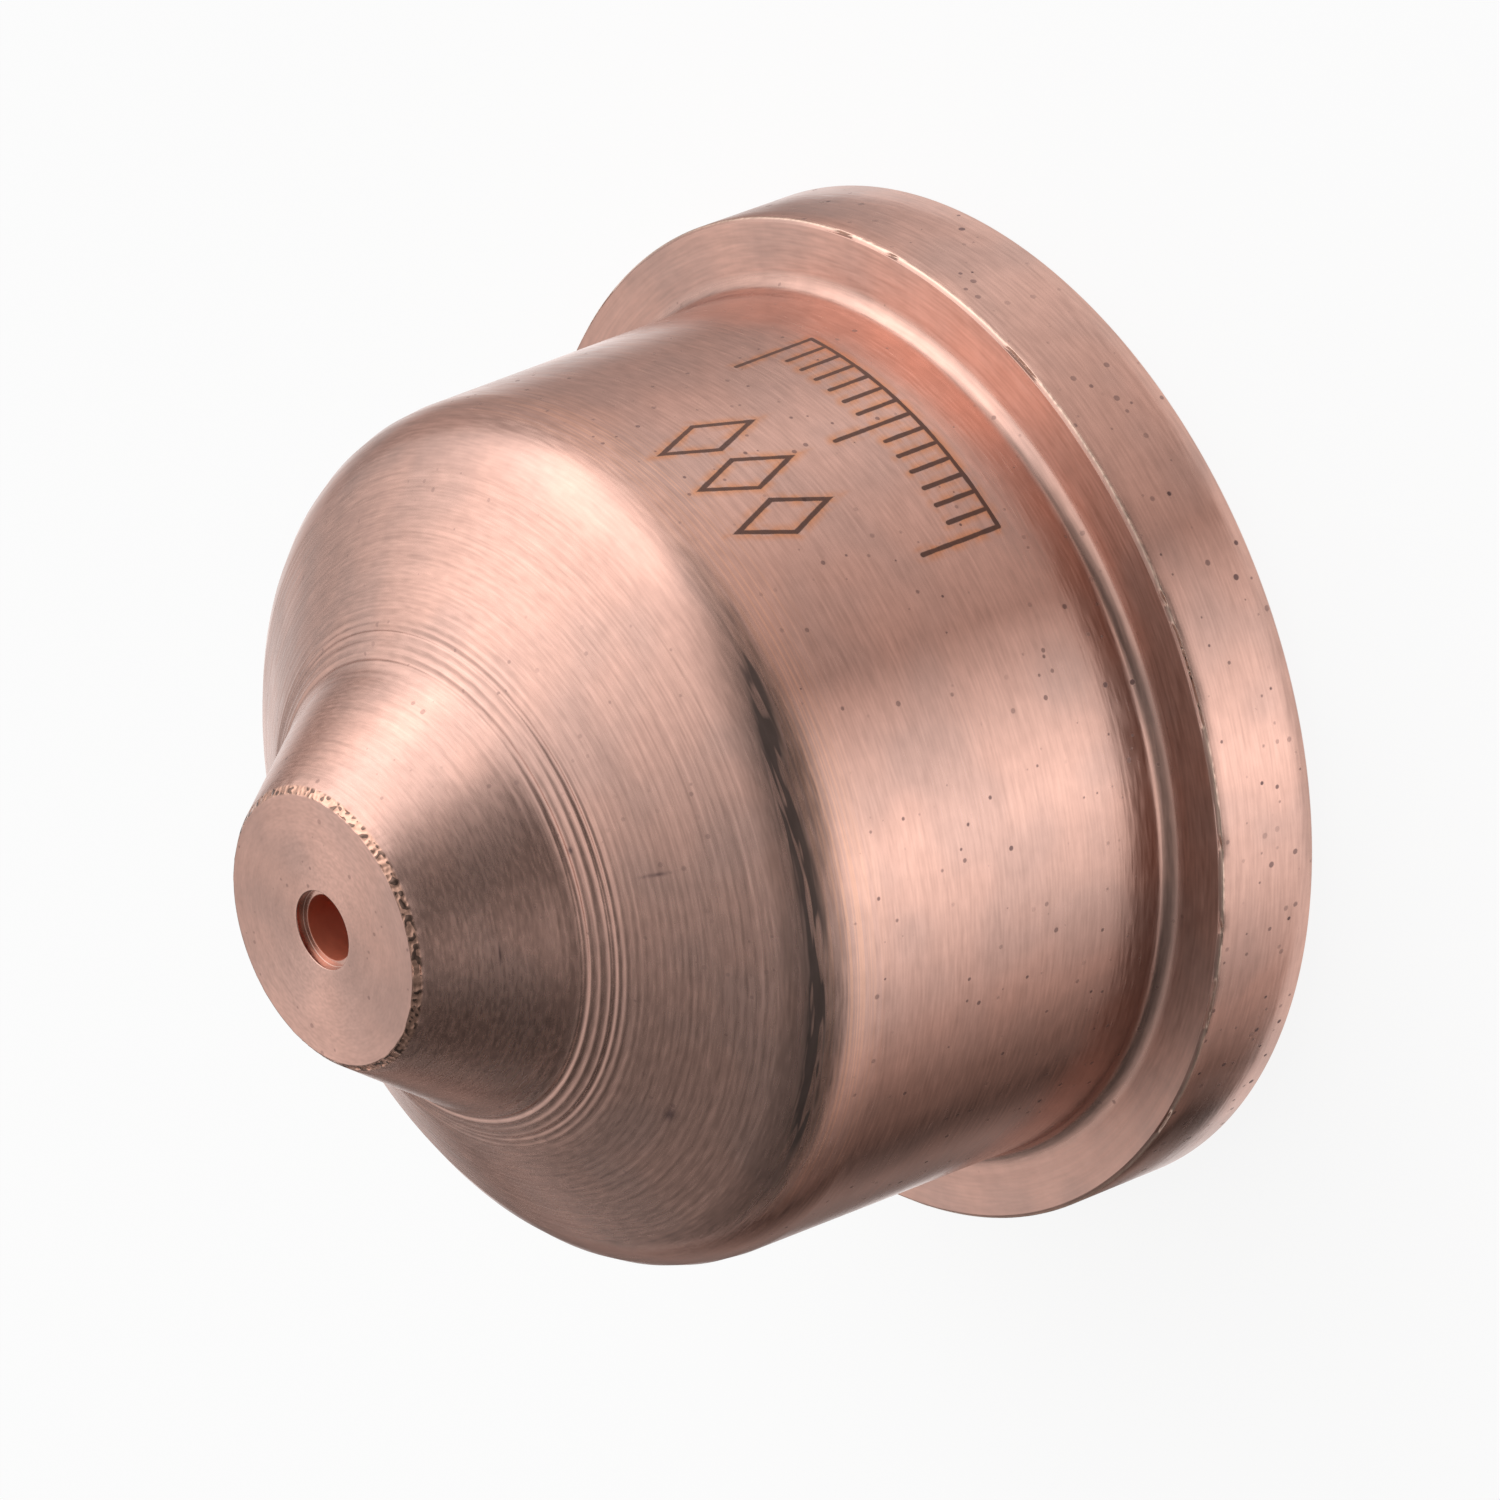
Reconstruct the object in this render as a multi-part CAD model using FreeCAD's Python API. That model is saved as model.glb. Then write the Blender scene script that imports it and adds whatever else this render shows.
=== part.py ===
"""Plasma torch nozzle: one turned copper cup with a rear flange and a double-cone nose.

Frame: +Z runs along the turning axis towards the nose. The origin is the centre of
the flange's back face, on which the nozzle stands. Lengths are in millimetres and
angles in degrees, and half angles are measured from the turning axis.
"""

import FreeCAD
import Part

import math
import os

# ---- outside ----
overall_length = 15.80
flange_overhang = 1.40          # radial width of the flange beyond the barrel
flange_thickness = 2.35
flange_edge_break = 0.06        # deburred front and back edges of the flange
foot_fillet = 0.37              # between the flange and the barrel
barrel_radius = 8.60            # where the barrel meets the flange
barrel_taper = 0.09             # how much smaller that radius is at the shoulder
shoulder_radius = 2.07          # round between the barrel and the shoulder cone
shoulder_half_angle = 56.0
nose_foot_fillet = 0.30         # inside corner between the two cones
nose_cone_half_angle = 34.5
nose_cone_length = 2.39         # along the axis, without the broken edge
nose_edge_break = 0.11          # at 45 degrees, round the end face
nose_face_radius = 2.65         # flat end face

# ---- gas passage ----
recess_radius = 0.77            # shallow counterbore in the end face
recess_depth = 0.17
throat_radius = 0.64            # constricting bore
throat_length = 1.75
entry_half_angle = 30.0         # cone that converges on the throat
entry_mouth_radius = 1.50
entry_mouth_fillet = 0.60       # between the chamber floor and the entry cone

# ---- arc chamber ----
chamber_floor_half_angle = 56.0
chamber_floor_fillet = 1.20
seat_width = 1.05               # ledge between the socket and the chamber
seat_edge_break = 0.15

# ---- rear socket, which takes the swirl ring ----
socket_wall = 1.35              # between the socket and the barrel
socket_depth = 4.20
socket_lead_in = 0.50           # chamfer at the mouth
socket_corner_fillet = 0.20     # between the socket and the seat

largest_share = 0.45            # a fillet uses at most this share of a side


def cone_rise(growth, half_angle):
    """Axial length of a cone that changes its radius by growth."""
    return growth / math.tan(math.radians(half_angle))


def outside_corners():
    """Outer outline, from the back face to the end face: (radius, height, fillet)."""
    flange_radius = barrel_radius + flange_overhang
    cone_top = overall_length - nose_edge_break
    cone_top_radius = nose_face_radius + nose_edge_break
    nose_foot = cone_top - nose_cone_length
    nose_growth = nose_cone_length * math.tan(math.radians(nose_cone_half_angle))
    nose_foot_radius = cone_top_radius + nose_growth
    shoulder_end_radius = barrel_radius - barrel_taper
    shoulder_growth = shoulder_end_radius - nose_foot_radius
    shoulder_height = nose_foot - cone_rise(shoulder_growth, shoulder_half_angle)
    return [
        (flange_radius - flange_edge_break, 0, 0),
        (flange_radius, flange_edge_break, 0),
        (flange_radius, flange_thickness - flange_edge_break, 0),
        (flange_radius - flange_edge_break, flange_thickness, 0),
        (barrel_radius, flange_thickness, foot_fillet),
        (shoulder_end_radius, shoulder_height, shoulder_radius),
        (nose_foot_radius, nose_foot, nose_foot_fillet),
        (cone_top_radius, cone_top, 0),
        (nose_face_radius, overall_length, 0),
    ]


def inside_corners():
    """Inner outline, from the end face to the back face: (radius, height, fillet)."""
    recess_floor = overall_length - recess_depth
    throat_start = recess_floor - throat_length
    entry_growth = entry_mouth_radius - throat_radius
    entry_mouth = throat_start - cone_rise(entry_growth, entry_half_angle)
    socket_radius = barrel_radius - socket_wall
    chamber_radius = socket_radius - seat_width
    floor_growth = chamber_radius - entry_mouth_radius
    floor_start = entry_mouth - cone_rise(floor_growth, chamber_floor_half_angle)
    return [
        (recess_radius, overall_length, 0),
        (recess_radius, recess_floor, 0),
        (throat_radius, recess_floor, 0),
        (throat_radius, throat_start, 0),
        (entry_mouth_radius, entry_mouth, entry_mouth_fillet),
        (chamber_radius, floor_start, chamber_floor_fillet),
        (chamber_radius, socket_depth + seat_edge_break, 0),
        (chamber_radius + seat_edge_break, socket_depth, 0),
        (socket_radius, socket_depth, socket_corner_fillet),
        (socket_radius, socket_lead_in, 0),
        (socket_radius + socket_lead_in, 0, 0),
    ]


def corner_arc(before, corner, after, fillet):
    """Start, middle and end of the tangent arc that rounds one corner."""
    to_before = (before - corner).normalize()
    to_after = (after - corner).normalize()
    half_angle = to_before.getAngle(to_after) / 2
    shorter_side = min(before.distanceToPoint(corner), after.distanceToPoint(corner))
    setback = min(fillet / math.tan(half_angle), largest_share * shorter_side)
    radius = setback * math.tan(half_angle)
    bisector = (to_before + to_after).normalize()
    middle = corner + bisector * (radius / math.sin(half_angle) - radius)
    return corner + to_before * setback, middle, corner + to_after * setback


def closed_outline(corners):
    """Wire in the XZ plane through the corners, with an arc at each filleted one."""
    points = [FreeCAD.Vector(radius, 0, height) for radius, height, _ in corners]
    edges = []
    first_start = last_end = None
    for index, (_, _, fillet) in enumerate(corners):
        start = end = points[index]
        if fillet > 0:
            after = points[(index + 1) % len(points)]
            start, middle, end = corner_arc(points[index - 1], points[index], after, fillet)
        if last_end is None:
            first_start = start
        else:
            edges.append(Part.LineSegment(last_end, start).toShape())
        if fillet > 0:
            edges.append(Part.Arc(start, middle, end).toShape())
        last_end = end
    edges.append(Part.LineSegment(last_end, first_start).toShape())
    return Part.Wire(edges)


def turned_nozzle():
    """The whole nozzle, turned about its axis as one solid."""
    section = Part.Face(closed_outline(outside_corners() + inside_corners()))
    return section.revolve(FreeCAD.Vector(0, 0, 0), FreeCAD.Vector(0, 0, 1), 360)


def main():
    os.makedirs("parts", exist_ok=True)
    solid = turned_nozzle()
    solid.exportStep("parts/nozzle.step")
    print("nozzle: valid", solid.isValid(), "solids", len(solid.Solids),
          "volume", round(solid.Volume, 2), "mm3")


main()
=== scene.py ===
"""Looks of a plasma torch nozzle: satin turned copper, lightly worn, on a white floor.

One lathe mesh stands for the CAD node. It repeats the part's outline and adds what is
too fine for the solid: turning grooves, burred edges and small nicks. Sizes are in
millimetres until MM turns them into metres. A turn is an angle round the axis, measured
from the camera's side, -Y, and growing towards +X.
"""

import math

import bpy
import numpy as np
from mathutils import Matrix, Vector


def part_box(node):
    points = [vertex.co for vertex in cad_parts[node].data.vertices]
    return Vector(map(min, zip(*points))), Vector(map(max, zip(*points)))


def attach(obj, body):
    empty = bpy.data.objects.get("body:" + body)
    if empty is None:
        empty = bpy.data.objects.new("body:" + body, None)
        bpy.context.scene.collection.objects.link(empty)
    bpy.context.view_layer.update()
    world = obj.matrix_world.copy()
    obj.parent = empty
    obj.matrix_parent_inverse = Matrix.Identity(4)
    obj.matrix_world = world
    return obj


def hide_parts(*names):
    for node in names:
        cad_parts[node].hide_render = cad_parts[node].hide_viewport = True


MM = 0.001

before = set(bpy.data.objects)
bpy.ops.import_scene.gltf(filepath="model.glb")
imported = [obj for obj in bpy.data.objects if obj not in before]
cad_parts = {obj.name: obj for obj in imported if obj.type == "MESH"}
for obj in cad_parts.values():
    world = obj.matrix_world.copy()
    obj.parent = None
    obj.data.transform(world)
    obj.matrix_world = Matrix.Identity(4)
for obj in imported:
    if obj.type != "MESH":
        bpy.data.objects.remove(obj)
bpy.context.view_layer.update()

# ---- the part's outline, in mm and degrees ----
low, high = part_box("nozzle")
flange_radius = high[0] / MM
overall_length = high[2] / MM
flange_thickness = 2.35
flange_edge_break = 0.06
foot_fillet = 0.37
barrel_radius = 8.60
barrel_taper = 0.09
shoulder_radius = 2.07
shoulder_half_angle = 56.0
nose_foot_fillet = 0.30
nose_cone_half_angle = 34.5
nose_cone_length = 2.39
nose_edge_break = 0.11
nose_face_radius = 2.65
recess_radius = 0.77
recess_depth = 0.17
throat_radius = 0.64
throat_length = 1.75
entry_half_angle = 30.0
entry_mouth_radius = 1.50
entry_mouth_fillet = 0.60
chamber_floor_half_angle = 56.0
chamber_floor_fillet = 1.20
seat_width = 1.05
seat_edge_break = 0.15
socket_wall = 1.35
socket_depth = 4.20
socket_lead_in = 0.50
socket_corner_fillet = 0.20

# ---- the lathe mesh ----
segments = 288
sharp_round = 0.02          # what the tool leaves on a sharp corner
guard = 0.02                # row that keeps a flat side's shading flat next to a corner
arc_step = 12.0             # degrees of arc to a row
seed = 7

# ---- turning grooves on the shoulder cone ----
feed = 0.170                # one turn of the tool
feed_jitter = 0.22          # share by which grooves differ in width
deep_groove_depth = 0.036   # at the foot of the nose cone
deep_groove_reach = 0.80    # distance from the foot at which they end
deep_groove_fade = 0.16     # over which they fade out
cone_groove_depth = 0.0032  # on the rest of the cone
nose_groove_depth = 0.005   # two faint ones on the nose cone's own foot
nose_groove_reach = 0.30

# ---- edges, by how much they are worn back ----
flange_burr = 0.024
nose_burr = 0.016
nick_threshold = 1.6        # waves higher than this leave a nick

# ---- dark marks of handling: turn, half width, distance from the recess, half length ----
dark_marks = [
    (-12, 0.35, 6.65, 0.26),
    (-26, 3.2, 3.48, 0.025),
    (-61, 1.6, 7.14, 0.10),
    (-3, 0.8, 5.18, 0.05),
]

# ---- sooty ring past the end of the shoulder cone, and the scratches beyond it ----
soot_distance = 0.68
soot_width = 0.22
scuff_distance = 1.35
scuff_width = 0.55

# ---- etched marks on the barrel: starts and pitches round it, levels up it ----
scale_start = 2.60
tick_pitch = 0.415
tick_count = 15
tick_foot = 3.95
tick_height = 0.95
long_tick_every = 7
long_tick_height = 1.85
diamond_start = 4.35
diamond_pitch = 1.18
diamond_count = 3
diamond_level = 7.95
diamond_half_width = 0.42
diamond_half_height = 1.08

# ---- camera ----
camera_elevation = 35.49
camera_roll = -110.8
camera_distance = 269.1
camera_aim = (0.31, 2.47, 3.46)
camera_lens = 336.0

# ---- tones of the metal, with a painted bounce red and a painted edge highlight, linear RGB ----
rose_copper = (0.640, 0.385, 0.315)
brown_copper = (0.520, 0.335, 0.285)
fresh_copper = (0.760, 0.430, 0.310)
soot = (0.060, 0.045, 0.040)
pit_brown = (0.130, 0.080, 0.085)
burnt = (0.105, 0.048, 0.036)
heat_tint = (0.640, 0.270, 0.130)
# painted reflection: the red of light bouncing inside the copper bore
painted_bounce_red = (0.560, 0.150, 0.080)
# painted highlight: a cream glint along the flange's front edge, over its real burr
painted_edge_glint = (0.86, 0.62, 0.50)
copper_roughness = 0.22
turned_anisotropy = 0.75
quarter_turn = 0.25         # lays the highlight across the turning lines

# ---- studio lights: azimuth from -Y towards +X, elevation, sharpness, strength ----
tent_level = 0.03           # from every other direction
soft_lights = [
    (93, 19, 4.0, 2.2),
    (159, 46, 2.6, 0.66),
    (95, 76, 6.6, 0.85),
    (50, 41, 14.0, 0.25),
    (97, 34, 30.0, 0.30),
    (62, 30, 30.0, 0.75),
    (180, 35, 10.0, 0.42),
    (92, 3, 20.0, 0.58),
    (-36, 0, 12.0, 0.75),
    (-50, 30, 8.0, 0.12),
]

# ---- card: what the metal reflects at each turn from -Y, in degrees ----
card_stops = [
    (-180, 1.3), (-100, 1.3), (-92, 0.14), (-80, 0.27), (-66, 0.05), (-59, 0.18), (-56, 0.16),
    (-44, 0.50), (-30, 1.12), (-17, 1.65), (-6, 1.17), (7, 0.48), (22, 0.68), (42, 0.95),
    (62, 0.58), (78, 0.36), (92, 1.03), (100, 1.3), (180, 1.3),
]
card_warmth = 0.30          # how much redder the card is where it is dark
card_inner = 10.35
card_outer = 400.0
card_level = 0.02           # above the floor
card_steps = 72
mirror_radius = (barrel_radius + flange_radius) / 2

# ---- floor ----
floor_size = 4000.0
floor_grey = 0.95
floor_lift = 0.88           # share of its own white that the camera and the metal see


def cone_rise(growth, half_angle):
    """Axial length of a cone that changes its radius by growth."""
    return growth / math.tan(math.radians(half_angle))


def outline_corners():
    """Closed outline: (radius, height, fillet, name of the side that follows, row step)."""
    cone_top = overall_length - nose_edge_break
    cone_top_radius = nose_face_radius + nose_edge_break
    nose_foot = cone_top - nose_cone_length
    nose_growth = nose_cone_length * math.tan(math.radians(nose_cone_half_angle))
    nose_foot_radius = cone_top_radius + nose_growth
    shoulder_end_radius = barrel_radius - barrel_taper
    shoulder_growth = shoulder_end_radius - nose_foot_radius
    shoulder_height = nose_foot - cone_rise(shoulder_growth, shoulder_half_angle)
    recess_floor = overall_length - recess_depth
    throat_start = recess_floor - throat_length
    entry_growth = entry_mouth_radius - throat_radius
    entry_mouth = throat_start - cone_rise(entry_growth, entry_half_angle)
    socket_radius = barrel_radius - socket_wall
    chamber_radius = socket_radius - seat_width
    floor_growth = chamber_radius - entry_mouth_radius
    floor_start = entry_mouth - cone_rise(floor_growth, chamber_floor_half_angle)
    edge = flange_edge_break
    return [
        (flange_radius - edge, 0, sharp_round, "back edge", 0.05),
        (flange_radius, edge, sharp_round, "rim", 0.45),
        (flange_radius, flange_thickness - edge, sharp_round, "front edge", 0.04),
        (flange_radius - edge, flange_thickness, sharp_round, "flange", 0.3),
        (barrel_radius, flange_thickness, foot_fillet, "barrel", 0.7),
        (shoulder_end_radius, shoulder_height, shoulder_radius, "shoulder", feed / 6),
        (nose_foot_radius, nose_foot, nose_foot_fillet, "nose cone", 0.04),
        (cone_top_radius, cone_top, sharp_round, "nose edge", 0.05),
        (nose_face_radius, overall_length, sharp_round, "nose face", 0.35),
        (recess_radius, overall_length, sharp_round, "recess wall", 0.06),
        (recess_radius, recess_floor, 0, "recess floor", 0.07),
        (throat_radius, recess_floor, sharp_round, "throat", 0.3),
        (throat_radius, throat_start, 0.1, "entry", 0.4),
        (entry_mouth_radius, entry_mouth, entry_mouth_fillet, "floor", 0.6),
        (chamber_radius, floor_start, chamber_floor_fillet, "chamber", 1.2),
        (chamber_radius, socket_depth + seat_edge_break, sharp_round, "seat edge", 0.2),
        (chamber_radius + seat_edge_break, socket_depth, sharp_round, "seat", 0.5),
        (socket_radius, socket_depth, socket_corner_fillet, "socket", 1.2),
        (socket_radius, socket_lead_in, sharp_round, "lead-in", 0.3),
        (socket_radius + socket_lead_in, 0, sharp_round, "back", 0.8),
    ]


def corner_arc(before, corner, after, fillet):
    """Start and end of the tangent arc that rounds one corner, and its centre."""
    to_before = (before - corner).normalized()
    to_after = (after - corner).normalized()
    half_angle = to_before.angle(to_after) / 2
    setback = fillet / math.tan(half_angle)
    bisector = (to_before + to_after).normalized()
    centre = corner + bisector * (fillet / math.sin(half_angle))
    return corner + to_before * setback, corner + to_after * setback, centre


def side_stops(name, length, step):
    """Distances of the rows along a straight side, with a guard row near each end."""
    if length < 4 * guard:
        return [0.0]
    if name == "nose cone":
        fine = math.ceil(nose_groove_reach / step)
        coarse = max(1, round((length - guard - nose_groove_reach) / 0.3))
        tail = length - guard - nose_groove_reach
        return ([nose_groove_reach * k / fine for k in range(fine)]
                + [nose_groove_reach + tail * k / coarse for k in range(coarse + 1)])
    count = max(1, round((length - 2 * guard) / step))
    inner = [guard + (length - 2 * guard) * k / count for k in range(count + 1)]
    return [0.0] + inner


def outline_rows():
    """Every row of the lathe: its point, outward normal, side and distance along it."""
    corners = outline_corners()
    points = [Vector((radius, height)) for radius, height, *_ in corners]
    arcs = []
    for k, (_, _, fillet, _, _) in enumerate(corners):
        after = points[(k + 1) % len(points)]
        if fillet:
            arcs.append(corner_arc(points[k - 1], points[k], after, fillet))
        else:
            arcs.append((points[k], points[k], None))
    rows = []
    for k, (_, _, fillet, name, step) in enumerate(corners):
        start, end, centre = arcs[k]
        side = arcs[(k + 1) % len(arcs)][0] - end
        direction = side.normalized()
        normal = Vector((direction.y, -direction.x))
        if centre is not None:
            first, last = start - centre, end - centre
            turn = first.angle_signed(last)
            count = max(2, math.ceil(abs(math.degrees(turn)) / arc_step))
            outward = 1 if last.dot(normal) > 0 else -1
            for j in range(count):
                spoke = Matrix.Rotation(-turn * j / count, 2) @ first
                rows.append((centre + spoke, spoke.normalized() * outward, "to " + name, 0.0))
        for distance in side_stops(name, side.length, step):
            rows.append((end + direction * distance, normal, name, distance))
    return rows


def travelled(rows):
    """Distance along the outline at each row."""
    steps = [(after[0] - before[0]).length for before, after in zip(rows, rows[1:])]
    return np.concatenate([[0.0], np.cumsum(steps)])


def reaches(rows, along):
    """First and last distance along the outline of each named side."""
    result = {}
    for (_, _, name, _), distance in zip(rows, along):
        start, _ = result.get(name, (distance, distance))
        result[name] = (float(start), float(distance))
    return result


def ring_waves(random, waves):
    """Smooth closed noise round the axis: one value a segment, spread 1."""
    turns = np.arange(segments) * 2 * math.pi / segments
    total = np.zeros(segments)
    for wave in range(1, waves + 1):
        total += random.normal() * np.cos(wave * turns + random.uniform(0, 2 * math.pi))
    return total / total.std()


def groove_profile(random, rows):
    """Depth of the turning grooves at each row, in mm, and how it varies round the axis."""
    shoulder = [distance for _, _, name, distance in rows if name == "shoulder"]
    length = max(shoulder)
    edges = [0.0]
    while edges[-1] < length:
        edges.append(edges[-1] + feed * (1 + random.uniform(-feed_jitter, feed_jitter)))
    edges = np.array(edges)
    strength = random.uniform(0.55, 1.3, len(edges))
    wander = [ring_waves(random, 5) for _ in edges]
    depths = []
    for _, _, name, distance in rows:
        depth = np.zeros(segments)
        if name == "shoulder":
            from_foot = length - distance
            groove = int(np.searchsorted(edges, from_foot, side="right")) - 1
            groove = min(groove, len(edges) - 2)
            share = (from_foot - edges[groove]) / (edges[groove + 1] - edges[groove])
            reach = (from_foot - deep_groove_reach) / deep_groove_fade
            depth += deep_groove_depth / (1 + math.exp(2 * reach))
            depth += cone_groove_depth
            depth *= strength[groove] * (1 + 0.18 * wander[groove])
            depth *= 1 - (2 * share - 1) ** 2
        if name == "nose cone" and distance < nose_groove_reach:
            share = (distance / (nose_groove_reach / 2)) % 1
            depth += nose_groove_depth * (1 - (2 * share - 1) ** 2) * (1 + 0.2 * wander[0])
        depths.append(depth)
    return depths


def edge_damage(random, rows):
    """Shift of each row along its normal, in mm, where the edges are burred or nicked."""
    fine = ring_waves(random, 110)
    coarse = ring_waves(random, 24)
    nicks = np.clip(ring_waves(random, 60) - nick_threshold, 0, None)
    nose_fine = ring_waves(random, 120)
    nose_coarse = ring_waves(random, 16)
    shifts = []
    for _, normal, name, _ in rows:
        shift = np.zeros(segments)
        if name in ("front edge", "to front edge", "to flange"):
            shift -= flange_burr * (0.35 + 0.2 * np.abs(fine) + 0.2 * np.abs(coarse) + 1.2 * nicks)
        if name in ("nose edge", "to nose edge", "to nose face"):
            shift -= nose_burr * np.clip(0.5 + 0.45 * nose_fine + 0.4 * nose_coarse, 0, 2)
        shifts.append(shift)
    return shifts


def lathe_mesh(rows, along):
    """The nozzle's surface: the outline's rows turned round the axis, with fine relief."""
    random = np.random.default_rng(seed)
    depths = groove_profile(random, rows)
    shifts = edge_damage(random, rows)
    turns = np.arange(segments) * 2 * math.pi / segments
    sines, cosines = np.sin(turns), np.cos(turns)
    vertices = []
    for (point, normal, _, _), depth, shift in zip(rows, depths, shifts):
        relief = shift - depth
        radius = point.x + normal.x * relief
        level = point.y + normal.y * relief
        vertices.append(np.stack([radius * sines, -radius * cosines, level], 1))
    count = len(rows)
    index = np.arange(segments)
    following = (index + 1) % segments
    faces = []
    for k in range(count):
        here, there = k * segments, ((k + 1) % count) * segments
        faces.append(np.stack([here + index, here + following,
                               there + following, there + index], 1))
    mesh = bpy.data.meshes.new("nozzle_copper")
    mesh.from_pydata((np.concatenate(vertices) * MM).tolist(), [],
                     np.concatenate(faces).tolist())
    mesh.polygons.foreach_set("use_smooth", [True] * len(mesh.polygons))
    attribute = mesh.attributes.new("along", "FLOAT", "POINT")
    attribute.data.foreach_set("value", np.repeat(along, segments).astype(np.float32))
    mesh.validate()
    mesh.update()
    return mesh


# ---- node trees as formulas ----

def plug(value, place):
    """Feeds a socket from a signal or sets it to a constant."""
    if isinstance(value, Signal):
        value.tree.links.new(value.socket, place)
    else:
        place.default_value = value


class Signal:
    """A value in a node tree. Arithmetic on it adds Math nodes."""

    def __init__(self, tree, socket):
        self.tree = tree
        self.socket = socket

    def math(self, operation, *others):
        node = self.tree.nodes.new("ShaderNodeMath")
        node.operation = operation
        for place, value in zip(node.inputs, (self, *others)):
            plug(value, place)
        return Signal(self.tree, node.outputs[0])

    def __add__(self, other):
        return self.math("ADD", other)

    def __sub__(self, other):
        return self.math("SUBTRACT", other)

    def __mul__(self, other):
        return self.math("MULTIPLY", other)

    def __truediv__(self, other):
        return self.math("DIVIDE", other)

    def __neg__(self):
        return self.math("MULTIPLY", -1.0)

    def __abs__(self):
        return self.math("ABSOLUTE")

    def rise(self, start, end):
        """Smooth step from 0 at start to 1 at end; start may be the larger."""
        node = self.tree.nodes.new("ShaderNodeMapRange")
        node.interpolation_type = "SMOOTHSTEP"
        plug(self, node.inputs["Value"])
        node.inputs["From Min"].default_value = start
        node.inputs["From Max"].default_value = end
        return Signal(self.tree, node.outputs[0])

    def window(self, start, end, soft):
        """1 between start and end, with edges that are soft wide."""
        return self.rise(start - soft, start + soft) * self.rise(end + soft, end - soft)

    def bump(self, centre, width):
        """Bell curve round centre."""
        offset = (self - centre) / width
        return (-(offset * offset)).math("EXPONENT")

    def ramp(self, stops):
        """Color Ramp over 0 to 1, through (position, colour) stops."""
        node = self.tree.nodes.new("ShaderNodeValToRGB")
        plug(self, node.inputs[0])
        elements = node.color_ramp.elements
        while len(elements) < len(stops):
            elements.new(0.5)
        for element, (position, colour) in zip(elements, stops):
            element.position = position
            element.color = (*colour, 1)
        return Signal(self.tree, node.outputs[0])


def output(tree, kind, name=0, **settings):
    """A new node's output as a signal."""
    node = tree.nodes.new(kind)
    for key, value in settings.items():
        setattr(node, key, value)
    return Signal(tree, node.outputs[name])


def axes(vector):
    """The three components of a vector."""
    node = vector.tree.nodes.new("ShaderNodeSeparateXYZ")
    plug(vector, node.inputs[0])
    return [Signal(vector.tree, socket) for socket in node.outputs]


def combine(x, y, z):
    """Vector from three components, the first of which is a signal."""
    node = x.tree.nodes.new("ShaderNodeCombineXYZ")
    for value, place in zip((x, y, z), node.inputs):
        plug(value, place)
    return Signal(x.tree, node.outputs[0])


def noise(vector, detail=0.0, roughness=0.5):
    """Noise of about one feature a unit, near 0.5."""
    node = vector.tree.nodes.new("ShaderNodeTexNoise")
    plug(vector, node.inputs["Vector"])
    node.inputs["Scale"].default_value = 1.0
    node.inputs["Detail"].default_value = detail
    node.inputs["Roughness"].default_value = roughness
    return Signal(vector.tree, node.outputs["Fac"])


def cells(vector):
    """Voronoi cells of about one a unit: distance to the nearest point, and its draw."""
    node = vector.tree.nodes.new("ShaderNodeTexVoronoi")
    node.feature = "F1"
    plug(vector, node.inputs["Vector"])
    node.inputs["Scale"].default_value = 1.0
    draw = axes(Signal(vector.tree, node.outputs["Color"]))
    return Signal(vector.tree, node.outputs["Distance"]), draw


def scaled(vector, factor):
    """Vector times a number."""
    node = vector.tree.nodes.new("ShaderNodeVectorMath")
    node.operation = "SCALE"
    plug(vector, node.inputs[0])
    plug(factor, node.inputs["Scale"])
    return Signal(vector.tree, node.outputs[0])


def total(signals):
    """Sum of several signals."""
    result = signals[0]
    for signal in signals[1:]:
        result = result + signal
    return result


def blend(share, first, second):
    """Colour that goes from first to second as share goes from 0 to 1."""
    node = share.tree.nodes.new("ShaderNodeMix")
    node.data_type = "RGBA"
    node.clamp_factor = True
    plug(share, node.inputs[0])
    for value, place in ((first, node.inputs[6]), (second, node.inputs[7])):
        plug(value if isinstance(value, Signal) else (*value, 1), place)
    return Signal(share.tree, node.outputs[2])


def blank_material(name):
    """A material with an empty tree and its output node."""
    material = bpy.data.materials.new(name)
    material.use_nodes = True
    tree = material.node_tree
    tree.nodes.clear()
    return material, tree, tree.nodes.new("ShaderNodeOutputMaterial")


# ---- copper ----

class Skin:
    """Where a point of the copper lies: in mm, round the axis and along the outline."""

    def __init__(self, tree, place):
        self.place = place
        self.point = scaled(output(tree, "ShaderNodeTexCoord", "Object"), 1 / MM)
        x, y, self.level = axes(self.point)
        radius = (x * x + y * y).math("SQRT").math("MAXIMUM", 0.01)
        self.spoke_x = x / radius
        self.spoke_y = y / radius
        self.turn = x.math("ARCTAN2", -y) * math.degrees(1)
        self.along = output(tree, "ShaderNodeAttribute", "Fac", attribute_name="along")

    def streaks(self, round_scale, along_scale, detail=0.0):
        """Noise drawn out round the axis, as a turning tool leaves it."""
        across, up = self.spoke_x * round_scale, self.spoke_y * round_scale
        return noise(combine(across, up, self.along * along_scale), detail)

    def span(self, first, last, margin, soft):
        """1 on the sides from first to last, as the outline runs."""
        start, end = self.place[first][0] - margin, self.place[last][1] + margin
        return self.along.window(start, end, soft)

    def side(self, name, margin=0.0, soft=0.05):
        """1 on one side of the outline."""
        return self.span(name, name, margin, soft)


def tick_distance(arc, level, count, pitch, height):
    """Distance to the nearest of a row of ticks that stand on the scale's line."""
    nearest = ((arc - scale_start) / pitch).math("ROUND").math("MAXIMUM", 0).math("MINIMUM", count - 1)
    across = abs(arc - scale_start - nearest * pitch)
    beyond = (abs(level - tick_foot - height / 2) - height / 2).math("MAXIMUM", 0)
    return (across * across + beyond * beyond).math("SQRT")


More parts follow.
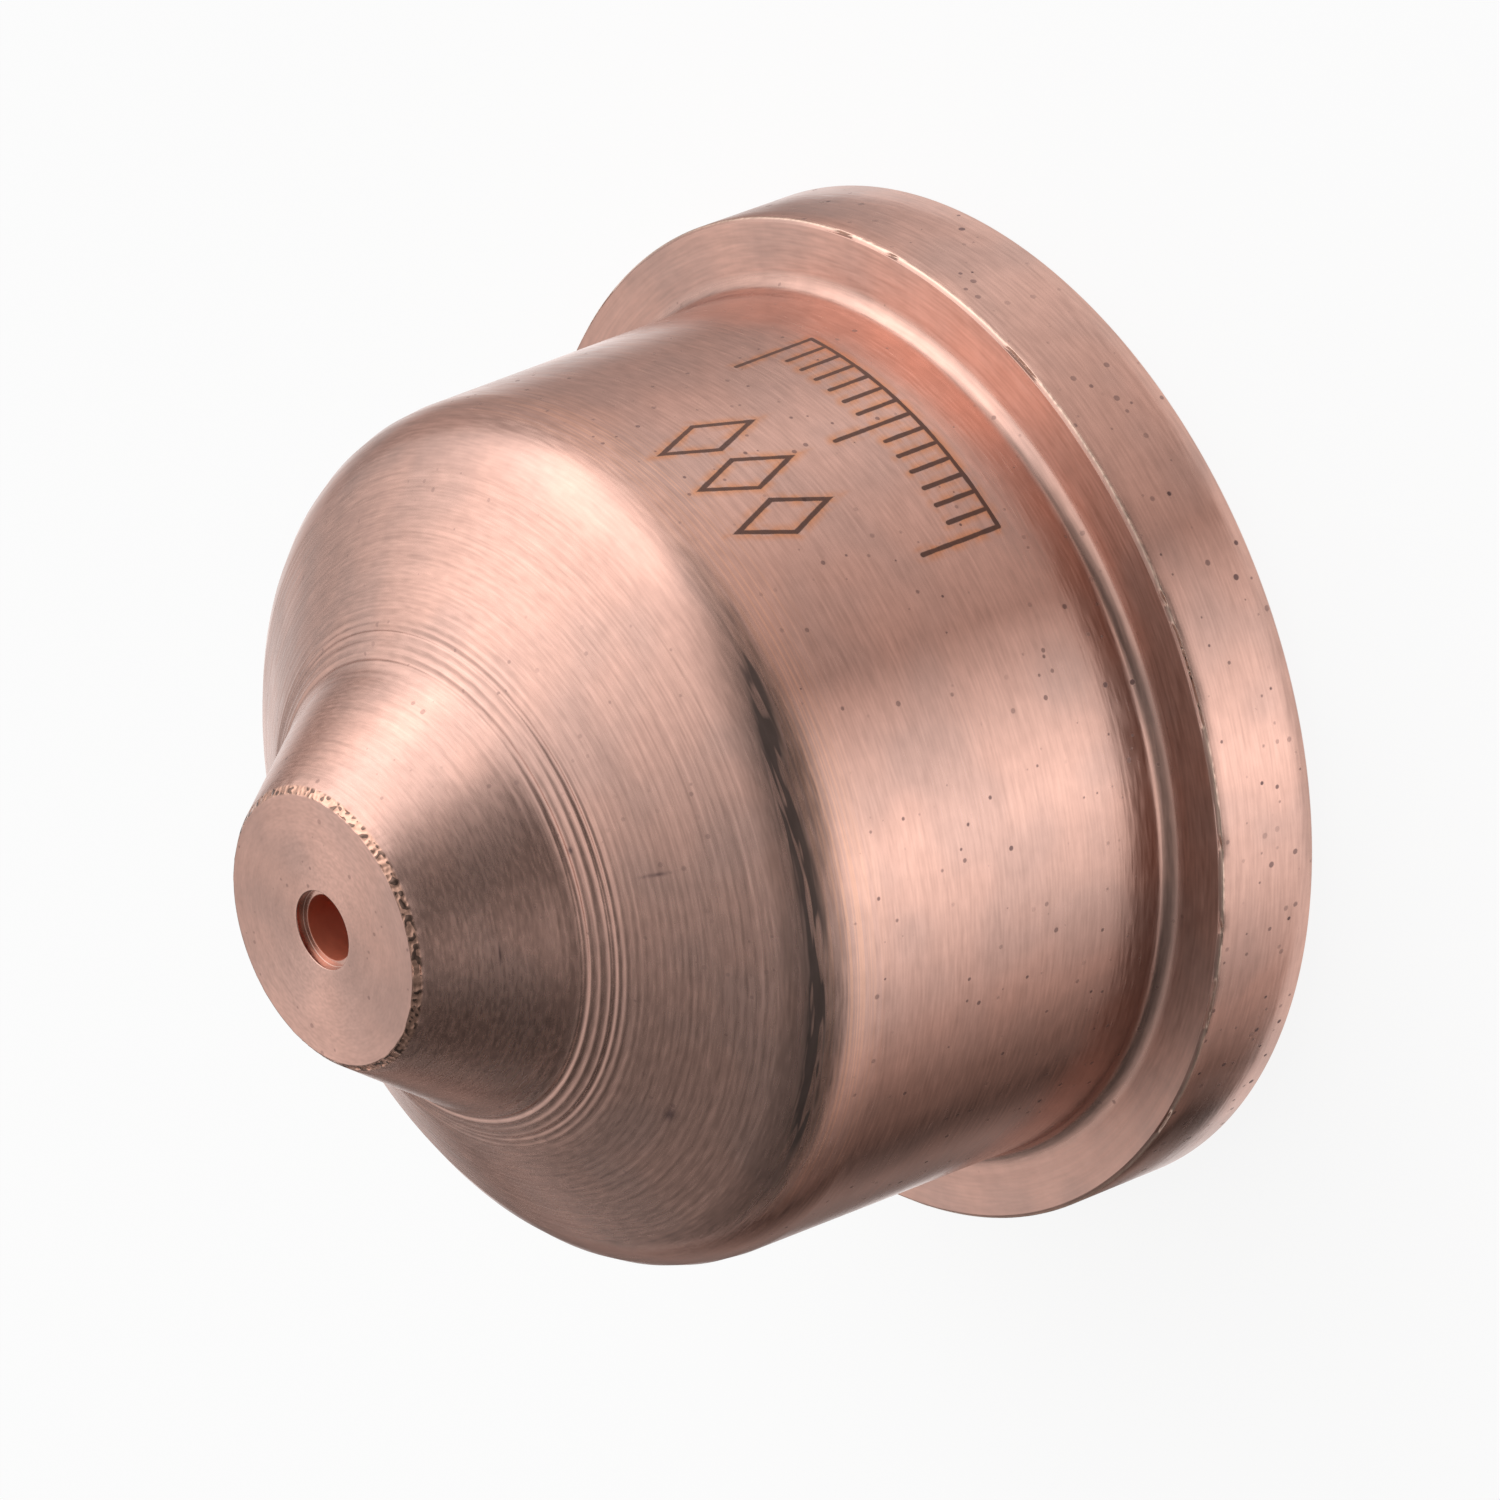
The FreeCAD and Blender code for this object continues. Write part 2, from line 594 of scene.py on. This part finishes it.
def scale_line_distance(arc, level):
    """Distance to the line that the ticks stand on."""
    half_length = tick_pitch * (tick_count - 1) / 2
    beyond = (abs(arc - scale_start - half_length) - half_length).math("MAXIMUM", 0)
    across = level - tick_foot
    return (across * across + beyond * beyond).math("SQRT")


def diamond_distance(arc, level):
    """Distance to the sides of the nearest diamond."""
    place = (arc - diamond_start) / diamond_pitch
    nearest = place.math("ROUND").math("MAXIMUM", 0).math("MINIMUM", diamond_count - 1)
    across = abs(arc - diamond_start - nearest * diamond_pitch)
    up = abs(level - diamond_level)
    slope = diamond_half_width * diamond_half_height / math.hypot(diamond_half_width, diamond_half_height)
    return abs((across / diamond_half_width + up / diamond_half_height - 1) * slope)


def etched_marks(skin, grime):
    """Cover by the burnt strokes of a tick scale and three diamonds, and by the tint round them."""
    arc = skin.turn * (math.radians(1) * barrel_radius)
    long_count = (tick_count - 1) // long_tick_every + 1
    long_pitch = tick_pitch * long_tick_every
    marks = tick_distance(arc, skin.level, tick_count, tick_pitch, tick_height)
    for other in (tick_distance(arc, skin.level, long_count, long_pitch, long_tick_height),
                  scale_line_distance(arc, skin.level),
                  diamond_distance(arc, skin.level)):
        marks = marks.math("MINIMUM", other)
    shaky = marks + (grime - 0.5) * 0.03
    barrel = skin.side("barrel", 0.0, 0.1)
    stroke = shaky.rise(0.062, 0.036) * barrel
    halo = shaky.rise(0.26, 0.03) * barrel * grime.rise(0.30, 0.62)
    return stroke, halo


def pit_cover(skin, rim, cones, face):
    """Cover by small pits: thickest on the rim and the barrel, and largest on the rim."""
    barrel = skin.side("barrel", 0.5, 0.3)
    distance, draw = cells(scaled(skin.point, 3.4))
    edge = distance - draw[1] * 0.16 - rim * 0.05 - 0.03
    cover = edge.rise(0.03, -0.04) * (draw[2] * 0.8 + 0.2)
    return cover * draw[0].rise(0.25, 0.35) * (barrel * 0.9 + rim + cones * 0.45 + face * 0.5)


def soot_cover(skin, lines):
    """Cover by the broken ring of soot, and by the fresh scratches beyond it."""
    broken = skin.streaks(6, 9, 1.0)
    drift = (broken - 0.5) * 0.35 + skin.turn.rise(-8, 24) * 0.50
    past_cone = -skin.along + skin.place["shoulder"][0] - drift
    near = skin.turn.window(-58, 14, 14) * 0.85 + skin.turn.window(-80, 30, 10) * 0.15 + 0.05
    flecks = broken.rise(0.36, 0.54) * 1.3 + 0.15
    sooty = (past_cone.bump(soot_distance, soot_width) * near * flecks).math("MINIMUM", 1.0)
    scuffs = skin.turn.window(-75, 80, 25) * lines.rise(0.44, 0.60)
    return sooty, past_cone.bump(scuff_distance, scuff_width) * scuffs


def handling_marks(skin, grime):
    """Cover by the few dark marks of handling on the cones."""
    from_recess = -skin.along + skin.place["nose face"][1]
    marks = [skin.turn.bump(turn, half_turn) * from_recess.bump(distance, half_length)
             for turn, half_turn, distance, half_length in dark_marks]
    return total(marks) * (grime.rise(0.35, 0.6) * 0.6 + 0.4)


def add_relief(tree, shader, height):
    """Bumps the shader by a height in mm."""
    relief = tree.nodes.new("ShaderNodeBump")
    relief.inputs["Distance"].default_value = MM
    plug(height, relief.inputs["Height"])
    tree.links.new(relief.outputs[0], shader.inputs["Normal"])


def copper(place):
    """Satin turned copper with tarnish, pits, a sooty ring at the shoulder and etched marks, plus painted
    red bounce light in the bore and a painted highlight on the flange's front edge.
    """
    material, tree, out = blank_material("copper")
    shader = tree.nodes.new("ShaderNodeBsdfPrincipled")
    tree.links.new(shader.outputs[0], out.inputs["Surface"])
    skin = Skin(tree, place)

    # sides
    outside = skin.along.rise(place["recess wall"][0] + 0.05, place["recess wall"][0] - 0.05)
    rim = skin.side("rim")
    flange = skin.side("flange", 0.1, 0.1)
    face = skin.side("nose face")
    cones = skin.span("shoulder", "nose cone", 0.0, 0.1)
    nose_edge = skin.side("nose edge", 0.03, 0.03)
    front_edge = skin.side("front edge", 0.03, 0.02)
    bore = skin.span("throat", "entry", 0.02, 0.02)

    # textures
    fine = skin.streaks(17, 19)
    rings = skin.streaks(2.2, 7.5, 1.0)
    lines = skin.streaks(1.3, 24)
    waves = noise(scaled(skin.point, 0.9))
    mottle = noise(scaled(skin.point, 0.5), 1.0, 0.6)
    grime = noise(scaled(skin.point, 3.2), 1.0, 0.65)
    crumbs = noise(scaled(skin.point, 9.0))

    # wear
    pits = pit_cover(skin, rim, cones, face)
    sooty, scuffed = soot_cover(skin, lines)
    dents = handling_marks(skin, grime)
    stroke, halo = etched_marks(skin, grime)

    colour = blend(mottle.rise(0.40, 0.66) * 0.6, rose_copper, brown_copper)
    for cover, tone in ((scuffed * 0.6, fresh_copper),
                        (halo * 0.75, heat_tint),
                        (nose_edge * 0.7, fresh_copper),
                        # painted highlight: cream glint laid along the flange's burred front edge
                        (front_edge * 0.8, painted_edge_glint),
                        (nose_edge * crumbs.rise(0.54, 0.60) * 0.8, soot),
                        (sooty * 0.9, soot),
                        (pits * 0.85, pit_brown),
                        (dents * 0.75, pit_brown),
                        (stroke * 0.93, burnt),
                        # painted reflection: red bounce light laid over the bore
                        (bore, painted_bounce_red)):
        colour = blend(cover, colour, tone)
    shade = (fine - 0.5) * outside * 0.30 + (rings - 0.5) * 0.22 + (lines - 0.5) * cones * 0.25
    plug(scaled(colour, shade + (grime - 0.5) * 0.16 + 1.0), shader.inputs["Base Color"])

    # less metal in the bore, so that its painted bounce red shows; less on strokes and soot too
    plug(-(bore * 0.55 + stroke * 0.5 + sooty * 0.35) + 1.0, shader.inputs["Metallic"])
    rough = (fine - 0.5) * 0.14 + (mottle - 0.5) * 0.10 + cones * 0.04 + flange * 0.16 + copper_roughness
    rough = rough + face * 0.14 + pits * 0.25 + sooty * 0.22 + stroke * 0.35 + bore * 0.3
    plug(rough, shader.inputs["Roughness"])
    shader.inputs["Anisotropic"].default_value = turned_anisotropy
    shader.inputs["Anisotropic Rotation"].default_value = quarter_turn
    tangent = output(tree, "ShaderNodeTangent", 0, direction_type="RADIAL", axis="Z")
    plug(tangent, shader.inputs["Tangent"])

    height = (fine - 0.5) * 0.0010 + (rings - 0.5) * 0.0022 + (waves - 0.5) * 0.006
    add_relief(tree, shader, height + (crumbs - 0.5) * (nose_edge * 0.03 + front_edge * 0.01))
    return material


# ---- studio ----

def seen_rays(tree):
    """1 for rays from the camera and for rays that metal or glass sends out."""
    path = tree.nodes.new("ShaderNodeLightPath")
    camera = Signal(tree, path.outputs["Is Camera Ray"])
    glossy = Signal(tree, path.outputs["Is Glossy Ray"])
    through = Signal(tree, path.outputs["Is Transmission Ray"])
    return camera.math("MAXIMUM", glossy).math("MAXIMUM", through)


def white_floor():
    """A wide pale floor under the flange: white in view, with the nozzle's shadow."""
    bpy.ops.mesh.primitive_plane_add(size=floor_size * MM, location=(0, 0, 0))
    floor = bpy.context.object
    floor.name = "floor"
    material, tree, out = blank_material("floor_white")
    mix = tree.nodes.new("ShaderNodeMixShader")
    matte = tree.nodes.new("ShaderNodeBsdfDiffuse")
    matte.inputs["Color"].default_value = (floor_grey, floor_grey, floor_grey, 1)
    glow = tree.nodes.new("ShaderNodeEmission")
    plug(seen_rays(tree) * floor_lift, mix.inputs["Fac"])
    tree.links.new(matte.outputs[0], mix.inputs[1])
    tree.links.new(glow.outputs[0], mix.inputs[2])
    tree.links.new(mix.outputs[0], out.inputs["Surface"])
    material.cycles.emission_sampling = "NONE"
    floor.data.materials.append(material)
    return floor


def card_mesh():
    """A flat ring round the flange's foot, just above the floor."""
    vertices, faces = [], []
    for radius in (card_inner, card_outer):
        for k in range(card_steps):
            turn = 2 * math.pi * k / card_steps
            vertices.append((radius * MM * math.cos(turn), radius * MM * math.sin(turn), card_level * MM))
    for k in range(card_steps):
        after = (k + 1) % card_steps
        faces.append((k, card_steps + k, card_steps + after, after))
    mesh = bpy.data.meshes.new("gradient_card")
    mesh.from_pydata(vertices, [], faces)
    return mesh


def card_light():
    """Light that changes with the turn at which the barrel and the rim reflect the card."""
    material, tree, out = blank_material("card")
    x, y, _ = axes(scaled(output(tree, "ShaderNodeTexCoord", "Object"), 1 / MM))
    radius = (x * x + y * y).math("SQRT")
    turn = x.math("ARCTAN2", -y) * math.degrees(1)
    mirrored = turn / (radius.math("POWER", -1.0) * -mirror_radius + 2.0)
    brightest = max(level for _, level in card_stops)
    stops = []
    for degrees, level in card_stops:
        share = level / brightest
        warmth = card_warmth * max(0.0, 1.0 - level)
        stops.append((degrees / 360 + 0.5, (share * (1 + warmth), share, share * (1 - warmth / 3))))
    glow = tree.nodes.new("ShaderNodeEmission")
    glow.inputs["Strength"].default_value = brightest
    plug((mirrored / 360 + 0.5).ramp(stops), glow.inputs["Color"])
    tree.links.new(glow.outputs[0], out.inputs["Surface"])
    material.cycles.emission_sampling = "NONE"
    return material


def gradient_card():
    """A ring of card that only the metal sees, with light and dark stretches round it."""
    card = bpy.data.objects.new("gradient_card", card_mesh())
    bpy.context.collection.objects.link(card)
    card.visible_camera = False
    card.visible_diffuse = False
    card.visible_shadow = False
    card.data.materials.append(card_light())
    return card


def studio_world():
    """Soft lights in the world, each a bell of light round its direction."""
    world = bpy.data.worlds.new("studio")
    bpy.context.scene.world = world
    world.use_nodes = True
    tree = world.node_tree
    tree.nodes.clear()
    out = tree.nodes.new("ShaderNodeOutputWorld")
    back = tree.nodes.new("ShaderNodeBackground")
    x, y, z = axes(output(tree, "ShaderNodeTexCoord", "Generated"))
    lights = []
    for azimuth, elevation, sharpness, strength in soft_lights:
        turn, tilt = math.radians(azimuth), math.radians(elevation)
        towards = (math.cos(tilt) * math.sin(turn), -math.cos(tilt) * math.cos(turn), math.sin(tilt))
        facing = x * towards[0] + y * towards[1] + z * towards[2]
        lights.append(((facing - 1.0) * sharpness).math("EXPONENT") * strength)
    plug(total(lights) + tent_level, back.inputs["Strength"])
    tree.links.new(back.outputs[0], out.inputs["Surface"])


def photo_camera():
    """The camera: a long lens, rolled so that the nose points to the lower left."""
    camera = bpy.data.cameras.new("camera")
    camera.lens = camera_lens
    camera.sensor_width = 36
    camera.clip_start, camera.clip_end = 0.01, 10
    holder = bpy.data.objects.new("camera", camera)
    bpy.context.collection.objects.link(holder)
    tilt = Matrix.Rotation(math.radians(90 - camera_elevation), 4, "X")
    roll = Matrix.Rotation(math.radians(camera_roll), 4, "Z")
    elevation = math.radians(camera_elevation)
    away = Vector((0, -math.cos(elevation), math.sin(elevation)))
    place = Matrix.Translation((Vector(camera_aim) + away * camera_distance) * MM)
    holder.matrix_world = place @ tilt @ roll
    bpy.context.scene.camera = holder


photo_camera()
rows = outline_rows()
along = travelled(rows)
nozzle = bpy.data.objects.new("nozzle_copper", lathe_mesh(rows, along))
bpy.context.collection.objects.link(nozzle)
nozzle.data.materials.append(copper(reaches(rows, along)))
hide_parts("nozzle")
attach(nozzle, "root")
white_floor()
gradient_card()
studio_world()
bpy.context.scene.view_settings.view_transform = "Standard"
